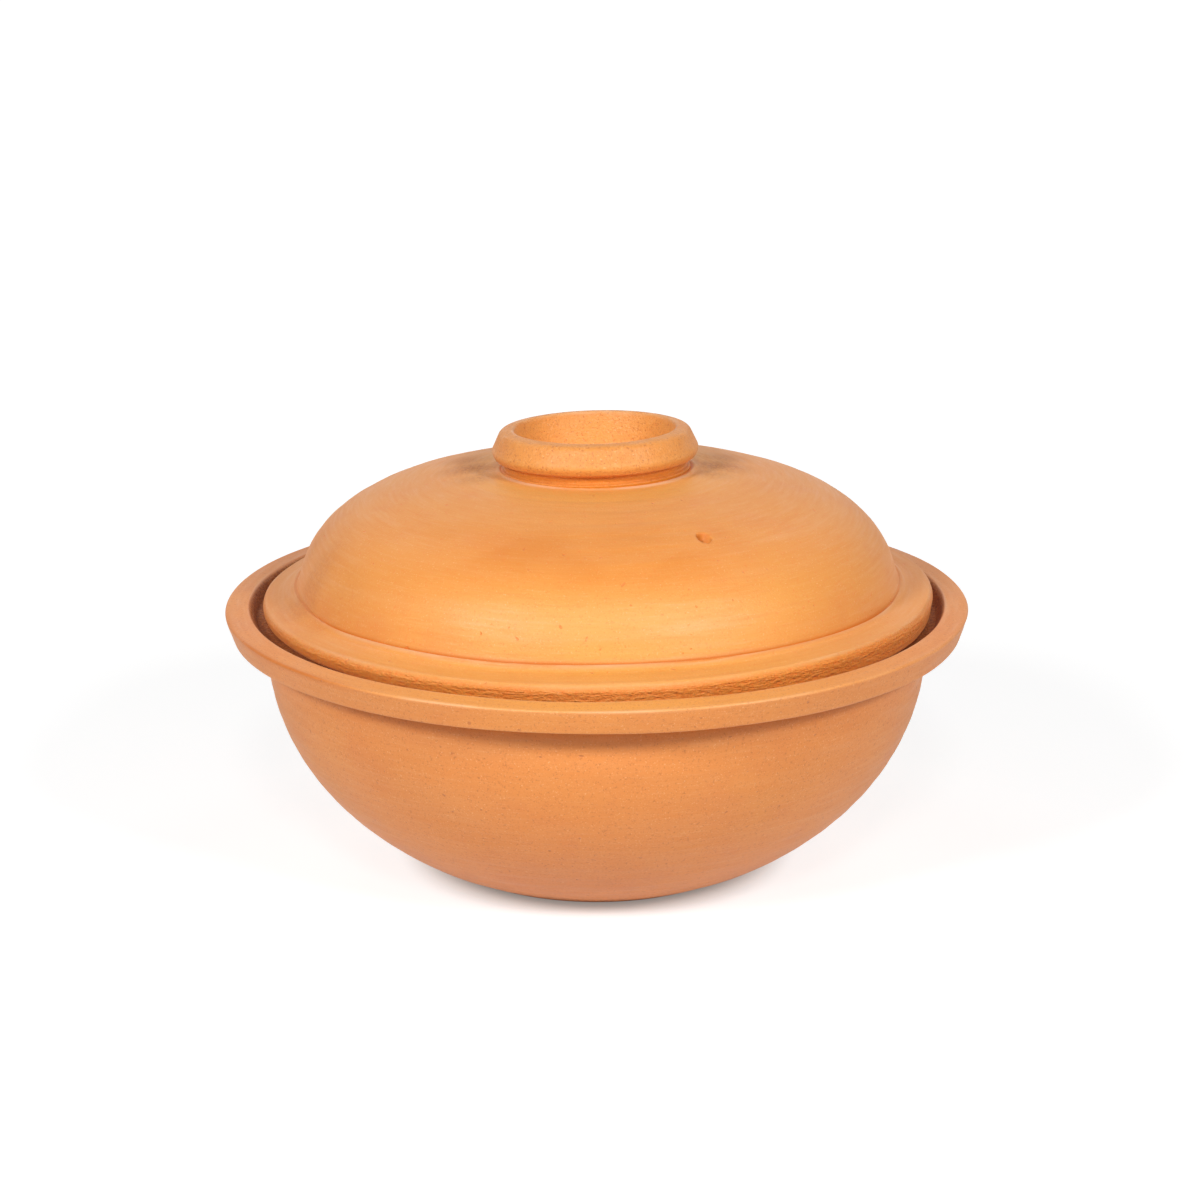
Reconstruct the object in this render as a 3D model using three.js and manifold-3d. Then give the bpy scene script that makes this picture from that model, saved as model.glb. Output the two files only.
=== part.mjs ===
// Terracotta cooking pot: a wheel-thrown bowl with a flared rim and a gallery for its lid,
// and a domed lid with a steam vent and a ring handle that is luted on.
// Millimetres, +Z up. The origin is on the pot's axis, in the plane that its foot stands on.
import * as THREE from "three";
import { mergeVertices } from "three/addons/utils/BufferGeometryUtils.js";
import Module from "manifold-3d";

// Bowl
const bowlRadius = 111.1;
const bellyHeight = 75.5;
const footRadius = 52.3;
const footRounding = 2.5;
const bowlWall = 7.5;
const bowlFloor = 9;
const bowlFullness = 2;

// Rim and lid gallery
const rimFlare = 14.2;
const rimHeight = 90.3;
const rimWidth = 8.1;
const rimFall = 0.9;
const rimBand = 7.9;
const rimUndercut = 2.8;
const rimRounding = 0.9;
const neckFillet = 2.5;
const galleryDepth = 4.3;
const galleryTaper = 2.8;
const galleryFillet = 1.2;
const ledgeRounding = 1.5;

// Clearances between the pieces
const lidSideClearance = 1.6;
const lidSeatClearance = 0.3;
const slipClearance = 0.3;

// Lid
const flangeThickness = 7.7;
const flangeRise = 2;
const flangeWidth = 10.65;
const flangeBulge = 1.2;
const flangeBulgeDrop = 1.8;
const flangeUndercut = 2.7;
const flangeRounding = 1.6;
const flangeEdgeRounding = 2.2;
const creaseDepth = 0.45;
const creaseWidth = 0.9;
const domeRise = 39.4;
const domeFullness = 3;
const domeShoulderDrop = 16.2;
const lidWall = 7;
const mouthRounding = 2;

// Steam vent: its place on the dome is a distance from the axis and an angle from +X, and its
// drill is this many walls long
const ventDiameter = 4.6;
const ventDistance = 73.5;
const ventAngle = THREE.MathUtils.degToRad(-62.8);
const drillReach = 4;

// Ring handle
const handleFootRadius = 32;
const handleFootWidth = 7.8;
const handleHeight = 15.4;
const handleWaist = 1.4;
const handleWaistHeight = 2.6;
const handleLipRadius = 34.75;
const handleLipWidth = 7.6;
const handleLipRise = 4.7;
const handleLipUndercut = 1.4;
const handleUndercutRise = 1.5;
const handleLipRounding = 4;
const handleShoulder = 3.2;
const handleShoulderDrop = 0.8;
const handleThroat = 0.8;
const handleEdgeRounding = 0.9;

// Smoothness of the surfaces, the longest share of a side that a rounding takes, and the distance
// under which two points are one
const turnSteps = 60;
const wallSteps = 12;
const arcStep = 1.3;
const ventSides = 12;
const roundingShare = 0.48;
const samePoint = 1e-4;

// Sizes that follow from the ones above
const rimRadius = bowlRadius + rimFlare;
const rimRidgeHeight = rimHeight - rimFall;
const rimUndersideHeight = rimRidgeHeight - rimBand;
const galleryMouthRadius = rimRadius - rimWidth;
const galleryFloorRadius = galleryMouthRadius - galleryTaper;
const ledgeHeight = rimHeight - galleryDepth;
const lidRadius = galleryFloorRadius - lidSideClearance;
const lidBaseHeight = ledgeHeight + lidSeatClearance;
const creaseRadius = lidRadius - flangeBulge - flangeWidth;
const creaseHeight = lidBaseHeight + flangeThickness + flangeRise;
const lidMouthRadius = creaseRadius - lidWall;

// A quarter of a superellipse about the axis, from the angle of its first point to that of its last
function superellipse({ radius, height, centre, power, from, to, steps }) {
  const points = [];
  for (let i = 0; i <= steps; i += 1) {
    const angle = from + ((to - from) * i) / steps;
    const x = radius * Math.abs(Math.cos(angle)) ** (2 / power);
    const z = height * Math.sign(Math.sin(angle)) * Math.abs(Math.sin(angle)) ** (2 / power);
    points.push(new THREE.Vector2(x, centre + z));
  }
  return points;
}

// The angle at which a superellipse stands at a given share of its radius
function angleAtRadius(share, power) {
  return Math.acos(share ** (power / 2));
}

// The angle at which a superellipse stands at a given share of its height
function angleAtHeight(share, power) {
  return Math.asin(share ** (power / 2));
}

// Turns a list of corners [radius, height, rounding] into points, with an arc at each rounding
function rounded(corners, closed = false) {
  const points = [];
  corners.forEach(([x, z, rounding], i) => {
    const corner = new THREE.Vector2(x, z);
    const before = corners[(i + corners.length - 1) % corners.length];
    const after = corners[(i + 1) % corners.length];
    const isEnd = !closed && (i === 0 || i === corners.length - 1);
    if (!rounding || isEnd) {
      points.push(corner);
      return;
    }
    const sides = [before, after].map(([sideX, sideZ]) => new THREE.Vector2(sideX, sideZ));
    points.push(...arcAtCorner(corner, ...sides, rounding));
  });
  return points;
}

// An arc that touches both sides of a corner, kept within the shorter side
function arcAtCorner(corner, before, after, rounding) {
  const toBefore = before.clone().sub(corner);
  const toAfter = after.clone().sub(corner);
  const shorter = Math.min(toBefore.length(), toAfter.length());
  toBefore.normalize();
  toAfter.normalize();
  const halfAngle = Math.acos(THREE.MathUtils.clamp(toBefore.dot(toAfter), -1, 1)) / 2;
  const radius = Math.min(rounding, roundingShare * shorter * Math.tan(halfAngle));
  const middle = toBefore.clone().add(toAfter).normalize();
  const centre = corner.clone().addScaledVector(middle, radius / Math.sin(halfAngle));
  const start = corner.clone().addScaledVector(toBefore, radius / Math.tan(halfAngle)).sub(centre);
  const end = corner.clone().addScaledVector(toAfter, radius / Math.tan(halfAngle)).sub(centre);
  const turn = Math.atan2(start.cross(end), start.dot(end));
  const steps = Math.max(1, Math.round(Math.abs(turn) * radius / arcStep));
  const points = [];
  for (let i = 0; i <= steps; i += 1) {
    points.push(start.clone().rotateAround(new THREE.Vector2(), (turn * i) / steps).add(centre));
  }
  return points;
}

// Revolves a profile of (radius, height) points about the Z axis
function revolve(points) {
  const lathe = new THREE.LatheGeometry(points, turnSteps);
  lathe.rotateX(Math.PI / 2);
  return solidOf(lathe);
}

const wasm = await Module();
wasm.setup();

// A closed solid from a geometry: shared vertices are merged so that its faces join up
function solidOf(geometry) {
  geometry.deleteAttribute("normal");
  geometry.deleteAttribute("uv");
  const merged = mergeVertices(geometry, samePoint);
  return new wasm.Manifold(new wasm.Mesh({
    numProp: 3,
    vertProperties: new Float32Array(merged.attributes.position.array),
    triVerts: new Uint32Array(merged.index.array),
  }));
}

// A named mesh from a solid
function meshOf(name, solid, material) {
  const { vertProperties, triVerts } = solid.getMesh();
  const geometry = new THREE.BufferGeometry();
  geometry.setAttribute("position", new THREE.BufferAttribute(vertProperties, 3));
  geometry.setIndex(new THREE.BufferAttribute(triVerts, 1));
  geometry.computeVertexNormals();
  const mesh = new THREE.Mesh(geometry, material);
  mesh.name = name;
  return mesh;
}

// The outside of the bowl's wall is an ellipse, at a fullness of 2, that the foot cuts off level
function bowlOutside() {
  const share = 1 - (footRadius / bowlRadius) ** bowlFullness;
  const height = bellyHeight / share ** (1 / bowlFullness);
  return superellipse({
    radius: bowlRadius,
    height,
    centre: bellyHeight,
    power: bowlFullness,
    from: -angleAtHeight(bellyHeight / height, bowlFullness),
    to: 0,
    steps: wallSteps,
  });
}

// The inside follows the outside at the wall's thickness and rounds off into the floor
function bowlInside() {
  return superellipse({
    radius: bowlRadius - bowlWall,
    height: bellyHeight - bowlFloor,
    centre: bellyHeight,
    power: bowlFullness,
    from: 0,
    to: -Math.PI / 2,
    steps: wallSteps,
  });
}

// Bowl with its flared rim and the ledge that the lid rests on, thrown as one piece
function bowlSolid() {
  const outside = bowlOutside();
  const foot = outside.shift();
  const firstOnWall = outside[0];
  const inside = bowlInside();
  const base = rounded([[0, 0], [foot.x, foot.y, footRounding], [firstOnWall.x, firstOnWall.y]]);
  const rim = rounded([
    [bowlRadius, bellyHeight],
    [bowlRadius, rimUndersideHeight, neckFillet],
    [rimRadius - rimUndercut, rimUndersideHeight, rimRounding],
    [rimRadius, rimRidgeHeight, rimRounding],
    [galleryMouthRadius, rimHeight, rimRounding],
    [galleryFloorRadius, ledgeHeight, galleryFillet],
    [bowlRadius - bowlWall, ledgeHeight, ledgeRounding],
    [bowlRadius - bowlWall, bellyHeight],
  ]);
  return revolve([...base, ...outside.slice(1, -1), ...rim, ...inside.slice(1)]);
}

// The dome's outside: a superellipse whose centre lies below the crease, so that its foot leans in
function domeForm() {
  const height = domeRise + domeShoulderDrop;
  const share = 1 - (domeShoulderDrop / height) ** domeFullness;
  const radius = creaseRadius / share ** (1 / domeFullness);
  return { height, radius, centre: creaseHeight - domeShoulderDrop };
}

// The height of the dome's outside at a distance from the axis
function domeHeightAt(distance) {
  const { height, radius, centre } = domeForm();
  return centre + height * (1 - (distance / radius) ** domeFullness) ** (1 / domeFullness);
}

function domeOutside() {
  const { height, radius, centre } = domeForm();
  return superellipse({
    radius,
    height,
    centre,
    power: domeFullness,
    from: angleAtHeight((domeShoulderDrop + creaseDepth) / height, domeFullness),
    to: angleAtRadius(handleFootRadius / radius, domeFullness),
    steps: wallSteps,
  });
}

function domeInside() {
  const { height, radius, centre } = domeForm();
  const insideHeight = height - lidWall;
  return superellipse({
    radius: radius - lidWall,
    height: insideHeight,
    centre,
    power: domeFullness,
    from: Math.PI / 2,
    to: angleAtHeight((lidBaseHeight + flangeThickness - centre) / insideHeight, domeFullness),
    steps: wallSteps,
  });
}

// The vent's drill stands square to the dome, centred in the wall and longer than the wall is thick
function ventDrill() {
  const radius = ventDiameter / 2;
  const slope = (domeHeightAt(ventDistance + radius) - domeHeightAt(ventDistance - radius)) / ventDiameter;
  const drill = new THREE.CylinderGeometry(radius, radius, lidWall * drillReach, ventSides);
  drill.rotateX(Math.PI / 2);
  drill.rotateY(Math.atan(-slope));
  drill.translate(ventDistance, 0, domeHeightAt(ventDistance) - lidWall / 2);
  drill.rotateZ(ventAngle);
  return solidOf(drill);
}

// Lid: flat seat, flange with a soft outer edge, incised crease, dome and the flat that takes the handle
function lidSolid() {
  const outside = domeOutside();
  const inside = domeInside();
  const seatHeight = domeHeightAt(handleFootRadius);
  const ridgeHeight = lidBaseHeight + flangeThickness;
  const lowest = inside[inside.length - 1];
  const flange = rounded([
    [lowest.x, lowest.y],
    [lidMouthRadius, lidBaseHeight, mouthRounding],
    [lidRadius - flangeUndercut, lidBaseHeight, flangeEdgeRounding],
    [lidRadius, ridgeHeight - flangeBulgeDrop, flangeEdgeRounding],
    [lidRadius - flangeBulge, ridgeHeight, flangeRounding],
    [creaseRadius + creaseWidth, creaseHeight],
    [creaseRadius + creaseWidth / 2, creaseHeight - creaseDepth],
    [outside[0].x, outside[0].y],
  ]);
  const crown = new THREE.Vector2(0, seatHeight);
  const profile = [...inside.slice(0, -1), ...flange.slice(0, -1), ...outside, crown];
  return revolve(profile).subtract(ventDrill());
}

// Ring handle: a waisted foot under a lip that rolls up to its inner edge, open in the middle for
// the fingers
function handleSolid() {
  const base = domeHeightAt(handleFootRadius) + slipClearance;
  const top = base + handleHeight;
  const footInside = handleFootRadius - handleFootWidth;
  const lipInside = handleLipRadius - handleLipWidth;
  const waistTop = base + handleWaistHeight;
  const throatHeight = (waistTop + top) / 2;
  const profile = rounded([
    [footInside, base, handleEdgeRounding],
    [handleFootRadius, base, handleEdgeRounding],
    [handleFootRadius - handleWaist, waistTop, handleEdgeRounding],
    [handleLipRadius - handleLipUndercut, waistTop + handleUndercutRise, handleEdgeRounding],
    [handleLipRadius, waistTop + handleLipRise, handleLipRounding],
    [handleLipRadius - handleShoulder, top - handleShoulderDrop, handleLipRounding],
    [lipInside, top, handleEdgeRounding],
    [lipInside - handleThroat, throatHeight, handleLipRounding],
  ], true);
  return revolve([...profile, profile[0].clone()]);
}

const clay = { roughness: 0.85, metalness: 0 };
const bowlClay = new THREE.MeshStandardMaterial({ color: "#d98e58", ...clay });
const lidClay = new THREE.MeshStandardMaterial({ color: "#e09a62", ...clay });
const handleClay = new THREE.MeshStandardMaterial({ color: "#dc9259", ...clay });

const pot = new THREE.Group();
pot.add(meshOf("pot_bowl", bowlSolid(), bowlClay));

const lid = new THREE.Group();
lid.add(meshOf("lid_dome", lidSolid(), lidClay));
lid.add(meshOf("lid_ring_handle", handleSolid(), handleClay));
pot.add(lid);

export default pot;
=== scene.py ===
import math

import bmesh
import bpy
import numpy as np
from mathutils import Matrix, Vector


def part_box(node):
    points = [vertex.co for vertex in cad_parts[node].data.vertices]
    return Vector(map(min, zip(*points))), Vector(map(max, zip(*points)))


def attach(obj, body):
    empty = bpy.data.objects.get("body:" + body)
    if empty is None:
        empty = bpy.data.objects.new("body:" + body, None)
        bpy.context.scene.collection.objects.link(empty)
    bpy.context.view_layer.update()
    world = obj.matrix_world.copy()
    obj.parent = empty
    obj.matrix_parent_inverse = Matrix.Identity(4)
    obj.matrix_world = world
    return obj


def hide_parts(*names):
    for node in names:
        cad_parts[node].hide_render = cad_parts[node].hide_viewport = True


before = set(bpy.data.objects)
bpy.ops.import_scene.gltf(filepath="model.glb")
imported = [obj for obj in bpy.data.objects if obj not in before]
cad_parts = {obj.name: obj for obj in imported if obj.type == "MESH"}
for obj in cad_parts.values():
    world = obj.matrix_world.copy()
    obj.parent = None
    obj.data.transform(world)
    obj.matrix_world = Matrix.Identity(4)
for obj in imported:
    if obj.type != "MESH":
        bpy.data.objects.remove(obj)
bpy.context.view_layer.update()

# The pot is three turned pieces. Each is revolved from its section as a fine mesh, bent a little
# off true as a thrown piece is, and given an unglazed clay of its own. Everything is in metres.
bowl_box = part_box("pot_bowl")
lid_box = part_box("lid_dome")
ring_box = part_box("lid_ring_handle")

# How finely the sections and the turns are divided
SEGMENTS = 400
RING_SEGMENTS = 240
LONGEST_STEP = 0.0012
FLANGE_STEP = 0.0007
RING_STEP = 0.0004
STEP_ANGLE = math.radians(9)
ARC_STEP = 0.0002
CURVE_STEPS = 240
ROUNDING_SHARE = 0.48
SMALLEST_STEP = 1e-7

# Bowl: its widest point comes from the frame, and a rounded corner stays inside its sharp one. The
# foot's corner is rounded within the first of FOOT_PART parts of the outside
RIM_CORNER = 0.00025
RIM_FLARE = 0.0141
RIM_TOP_CORNER = 0.0001
BOWL_FULLNESS = 2
BELLY_DROP = 0.0148
FOOT_RADIUS = 0.0523
FOOT_ROUNDING = 0.0016
FOOT_PART = 8
BOWL_WALL = 0.0075
BOWL_FLOOR = 0.009
RIM_WIDTH = 0.008
RIM_FALL = 0.0007
RIM_BAND = 0.0083
RIM_UNDERCUT = 0.0028
RIM_ROUNDING = 0.0008
NECK_FILLET = 0.0025
GALLERY_DEPTH = 0.0043
GALLERY_TAPER = 0.0028
GALLERY_FILLET = 0.0012
LEDGE_ROUNDING = 0.0015

# Lid
FLANGE_THICKNESS = 0.0078
FLANGE_RISE = 0.002
FLANGE_WIDTH = 0.01065
FLANGE_BULGE = 0.0012
FLANGE_BULGE_DROP = 0.0021
FLANGE_UNDERCUT = 0.0013
FLANGE_ROUNDING = 0.0022
FLANGE_EDGE_ROUNDING = 0.003
FLANGE_SILL = 0.0018
FLANGE_SILL_RISE = 0.00012
FLANGE_SHELF = 0.0026
FLANGE_SHELF_DROP = 0.00105
FLANGE_SOFTNESS = 0.003
FLANGE_CORNER = 0.0005
CREASE_DEPTH = 0.0008
CREASE_WIDTH = 0.0013
CREASE_MIDDLE = math.radians(-86)
CREASE_FADE = (math.radians(56), math.radians(78))
CREASE_FILLET = 0.0011
CREASE_FILLET_REACH = 0.0035
FLANGE_RIDGE_PITCH = 0.0015
FLANGE_RIDGE_HEIGHT = 0.0001
DOME_FULLNESS = 3
DOME_SHOULDER_DROP = 0.0162
DOME_RISE = 0.0394
LID_WALL = 0.007
MOUTH_ROUNDING = 0.002

# Steam vent: its size and place on the dome, how far its drill leans, how much longer it is down
# the slope than across, and the cells of the lid's grid that make room for it
VENT_RADIUS = 0.0022
VENT_LIP = 0.0005
VENT_DISTANCE = 0.0749
VENT_ANGLE = math.radians(-63.3)
VENT_LEAN = (-0.0036, -0.0012)
VENT_OVAL = 1.2
VENT_CELLS = 5
VENT_ROWS = 4
VENT_RINGS = 4
VENT_TUBE_RINGS = 8

# How the vent's lip is rounded, and how its worn mouth waves: strength, waves in a turn and start
VENT_LIP_TURNS = (math.pi / 6, math.pi / 3, math.pi / 2)
VENT_WAVES = ((0.05, 2, 1), (0.04, 5, 0))

# Ring handle
RING_FOOT_RADIUS = 0.0317
RING_SINK = 0.0007
RING_FOOT_RISE = 0.0006
RING_FOOT_ROUNDING = 0.0004
RING_WALL = 0.0075
RING_WAIST = 0.0012
RING_WAIST_LOW = 0.001
RING_WAIST_HIGH = 0.0031
RING_WAIST_ROUNDING = 0.0005
RING_LIP_RADIUS = 0.03475
RING_LIP_HEIGHT = 0.0065
RING_LIP_UNDERCUT = 0.0014
RING_LIP_BOTTOM = 0.004
RING_LIP_EDGE = 0.0008
RING_LIP_ROUNDING = 0.0028
RING_SHOULDER = 0.0032
RING_SHOULDER_HEIGHT = 0.0133
RING_CREST_RADIUS = 0.0272
RING_CREST_HEIGHT = 0.014
RING_CREST_ROUNDING = 0.0011
RING_THROAT = 0.0008
RING_THROAT_HEIGHT = 0.0105
RING_PIVOT_RISE = 0.0015

# Slip that fills the corner between the crown and the ring's foot
SLIP_RADIUS = 0.0338
SLIP_CREST_RADIUS = 0.0326
SLIP_RISE = 0.00025
SLIP_ROUNDING = 0.0005

# Where the flange's side is roughest, how rough it is elsewhere, how far below the flange's ridge
# the rough side ends at the front, and over which heights it fades there
GRIT_ANGLE = math.radians(-55)
GRIT_REACH = math.radians(100)
GRIT_LEAST = 0.8
GRIT_DROP = 0.0013
GRIT_DROP_REACH = math.radians(62)
GRIT_FADE = (-0.0012, 0.0006)

# Patches of the flange's side where its dragged ridges show
RIDGE_PATCH_SIZE = 0.02
RIDGE_PATCH_RISE = (-0.5, 1.5)
RIDGE_SEED = 29

# Two faint lines that the thrower's tool left on the crown, beside the ring's foot
CROWN_LINES = (0.0385, 0.0458)
CROWN_LINE_DEPTH = 0.0001
CROWN_LINE_REACH = 0.0009

# How far the pieces lean: turns about X and Y in radians, and for rim, dome and ring a shift along
# X. The lid's seat stays level, and its lean sets in between two heights above the seat
RIM_LEAN = (math.radians(-0.24), math.radians(-0.17), 0.0)
FLANGE_LEAN = (math.radians(-0.2), math.radians(-0.94))
DOME_LEAN = (math.radians(-1.0), math.radians(-0.55), 0.0004)
RING_LEAN = (math.radians(-1.6), math.radians(-1.46), -0.00036)
LEAN_RISE = (0.001, 0.004)

# How far the clay swells and sinks off true, and the two sets of spiral throwing rings, which are
# stronger in some patches than in others
SWELL = 0.00007
SWELL_SIZE = 0.06
THROWING_PITCHES = (0.0052, 0.0113)
THROWING_HEIGHTS = (0.000016, 0.00003)
THROWING_PATCH = 0.07
THROWING_CHANGE = 0.5
BOWL_SHAPE_SEED = 11
LID_SHAPE_SEED = 23
RING_SHAPE_SEED = 37

# The run along a piece's section is the distance from the axis plus this share of the height
BOWL_FALL = 1
LID_FALL = -1
RING_FALL = 1

# Smooth noise: how many waves it adds up, and how far their lengths differ
WAVE_COUNT = 28
WAVE_SPREAD = (0.6, 1.4)


def superellipse(radius, height, centre, power, start, end):
    """Part of a superellipse about the axis, from one angle to another, as (radius, height) points."""
    angle = np.linspace(start, end, CURVE_STEPS + 1)
    cosine, sine = np.cos(angle), np.sin(angle)
    out = radius * np.abs(cosine) ** (2 / power)
    up = centre + height * np.sign(sine) * np.abs(sine) ** (2 / power)
    return list(zip(out, up))


def arc_at_corner(corner, before, after, rounding):
    """Points of the arc that touches both sides of a corner, kept within the shorter side."""
    to_before, to_after = before - corner, after - corner
    shorter = min(np.linalg.norm(to_before), np.linalg.norm(to_after))
    to_before = to_before / np.linalg.norm(to_before)
    to_after = to_after / np.linalg.norm(to_after)
    half = math.acos(max(-1.0, min(1.0, float(to_before @ to_after)))) / 2
    radius = min(rounding, ROUNDING_SHARE * shorter * math.tan(half))
    middle = to_before + to_after
    centre = corner + middle / np.linalg.norm(middle) * radius / math.sin(half)
    start = corner + to_before * radius / math.tan(half) - centre
    end = corner + to_after * radius / math.tan(half) - centre
    turn = math.atan2(start[0] * end[1] - start[1] * end[0], float(start @ end))
    steps = max(2, round(abs(turn) * radius / ARC_STEP))
    angles = [turn * i / steps for i in range(steps + 1)]
    return [
        (
            centre[0] + start[0] * math.cos(a) - start[1] * math.sin(a),
            centre[1] + start[0] * math.sin(a) + start[1] * math.cos(a),
        )
        for a in angles
    ]


def rounded(corners, closed=False):
    """Turns corners (radius, height, rounding) into points, with an arc at each rounding."""
    points = []
    count = len(corners)
    for i, corner in enumerate(corners):
        is_end = not closed and i in (0, count - 1)
        if len(corner) < 3 or is_end:
            points.append(tuple(corner[:2]))
            continue
        before, after = corners[i - 1], corners[(i + 1) % count]
        sides = [np.array(side[:2]) for side in (corner, before, after)]
        points.extend(arc_at_corner(*sides, corner[2]))
    return points


def spread(points, longest=LONGEST_STEP):
    """Spaces the points of a section anew: evenly where it is straight, and closer where it bends."""
    points = np.array(points, float)
    step = np.diff(points, axis=0)
    length = np.hypot(step[:, 0], step[:, 1])
    kept = np.r_[True, length > SMALLEST_STEP]
    points = points[kept]
    step = np.diff(points, axis=0)
    length = np.hypot(step[:, 0], step[:, 1])
    heading = np.unwrap(np.arctan2(step[:, 1], step[:, 0]))
    bend = np.abs(np.diff(heading))
    weight = length / longest
    weight[:-1] += bend / (2 * STEP_ANGLE)
    weight[1:] += bend / (2 * STEP_ANGLE)
    along = np.r_[0, np.cumsum(weight)]
    places = np.linspace(0, along[-1], int(math.ceil(along[-1])) + 1)
    return np.stack([np.interp(places, along, points[:, k]) for k in (0, 1)], axis=1)


def section_normals(section, closed=False):
    """Unit normals that point out of the clay, on the right of the section's run."""
    if closed:
        run = np.roll(section, -1, axis=0) - np.roll(section, 1, axis=0)
    else:
        run = np.gradient(section, axis=0)
    normal = np.stack([run[:, 1], -run[:, 0]], axis=1)
    return normal / np.linalg.norm(normal, axis=1, keepdims=True)


def waves(points, size, seed):
    """Smooth seeded noise of about unit strength, with lumps of the given size."""
    random = np.random.default_rng(seed)
    heading = random.normal(size=(WAVE_COUNT, points.shape[-1]))
    heading /= np.linalg.norm(heading, axis=1, keepdims=True)
    rate = 2 * math.pi / size * random.uniform(*WAVE_SPREAD, (WAVE_COUNT, 1))
    phase = random.uniform(0, 2 * math.pi, WAVE_COUNT)
    return np.sin(points @ (heading * rate).T + phase).sum(-1) * math.sqrt(2 / WAVE_COUNT)


def smooth_share(value, low, high):
    """0 below low, 1 above high, and a smooth rise between them."""
    t = np.clip((value - low) / (high - low), 0, 1)
    return t * t * (3 - 2 * t)


def ridge_share(points, radius, height, reach):
    """1 on a circle about the axis, at a radius and a height, and a soft fall to 0 beside it."""
    apart = np.hypot(np.hypot(points[:, 0], points[:, 1]) - radius, points[:, 2] - height)
    return np.exp(-(apart / reach) ** 2)


def facing_share(points, angle, reach):
    """1 at an angle about the axis, and a soft fall to 0 at a reach to either side of it."""
    apart = np.abs(np.angle(np.exp(1j * (np.arctan2(points[:, 1], points[:, 0]) - angle))))
    return 1 - smooth_share(apart, 0, reach)


def beyond_share(points, middle, fade):
    """0 near an angle about the axis, and 1 where the turn away from it is beyond a fade."""
    apart = np.abs(np.angle(np.exp(1j * (np.arctan2(points[:, 1], points[:, 0]) - middle))))
    return smooth_share(apart, *fade)


def rim_places():
    """Radius of the rim's outer edge, height of its top and height of its outer ridge."""
    rim_radius = bowl_box[1].x + RIM_CORNER
    rim_top = bowl_box[1].z + RIM_TOP_CORNER
    return rim_radius, rim_top, rim_top - RIM_FALL


def bowl_section():
    """Foot, outside, rim, gallery, ledge, inside and floor, from the middle of the base."""
    rim_radius, rim_top, ridge = rim_places()
    radius = rim_radius - RIM_FLARE
    belly = rim_top - BELLY_DROP
    height = belly / (1 - (FOOT_RADIUS / radius) ** BOWL_FULLNESS) ** (1 / BOWL_FULLNESS)
    foot_angle = -math.asin((belly / height) ** (BOWL_FULLNESS / 2))
    outside = superellipse(radius, height, belly, BOWL_FULLNESS, foot_angle, 0)
    inner = radius - BOWL_WALL
    inside = superellipse(inner, belly - BOWL_FLOOR, belly, BOWL_FULLNESS, 0, -math.pi / 2)
    mouth = rim_radius - RIM_WIDTH
    low = len(outside) // FOOT_PART
    base = rounded([(0, 0), (*outside[0], FOOT_ROUNDING), outside[low]])
    rim = rounded([
        (radius, belly),
        (radius, ridge - RIM_BAND, NECK_FILLET),
        (rim_radius - RIM_UNDERCUT, ridge - RIM_BAND, RIM_ROUNDING),
        (rim_radius, ridge, RIM_ROUNDING),
        (mouth, rim_top, RIM_ROUNDING),
        (mouth - GALLERY_TAPER, rim_top - GALLERY_DEPTH, GALLERY_FILLET),
        (inner, rim_top - GALLERY_DEPTH, LEDGE_ROUNDING),
        (inner, belly),
    ])
    return spread([*base[:-1], *outside[low:-1], *rim, *inside[1:]])


def dome_form():
    """Height, radius and centre of the superellipse of the dome's outside, and its crease."""
    lid_radius = lid_box[1].x + FLANGE_CORNER
    crease_radius = lid_radius - FLANGE_BULGE - FLANGE_WIDTH
    crease_height = lid_box[0].z + FLANGE_THICKNESS + FLANGE_RISE
    height = DOME_RISE + DOME_SHOULDER_DROP
    share = 1 - (DOME_SHOULDER_DROP / height) ** DOME_FULLNESS
    radius = crease_radius / share ** (1 / DOME_FULLNESS)
    return height, radius, crease_height - DOME_SHOULDER_DROP, crease_radius, crease_height


def dome_height(distance, depth=0.0):
    """Height of the dome at a distance from the axis, on its outside or at a depth in its wall."""
    height, radius, centre, _, _ = dome_form()
    share = 1 - (distance / (radius - depth)) ** DOME_FULLNESS
    return centre + (height - depth) * share ** (1 / DOME_FULLNESS)


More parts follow.
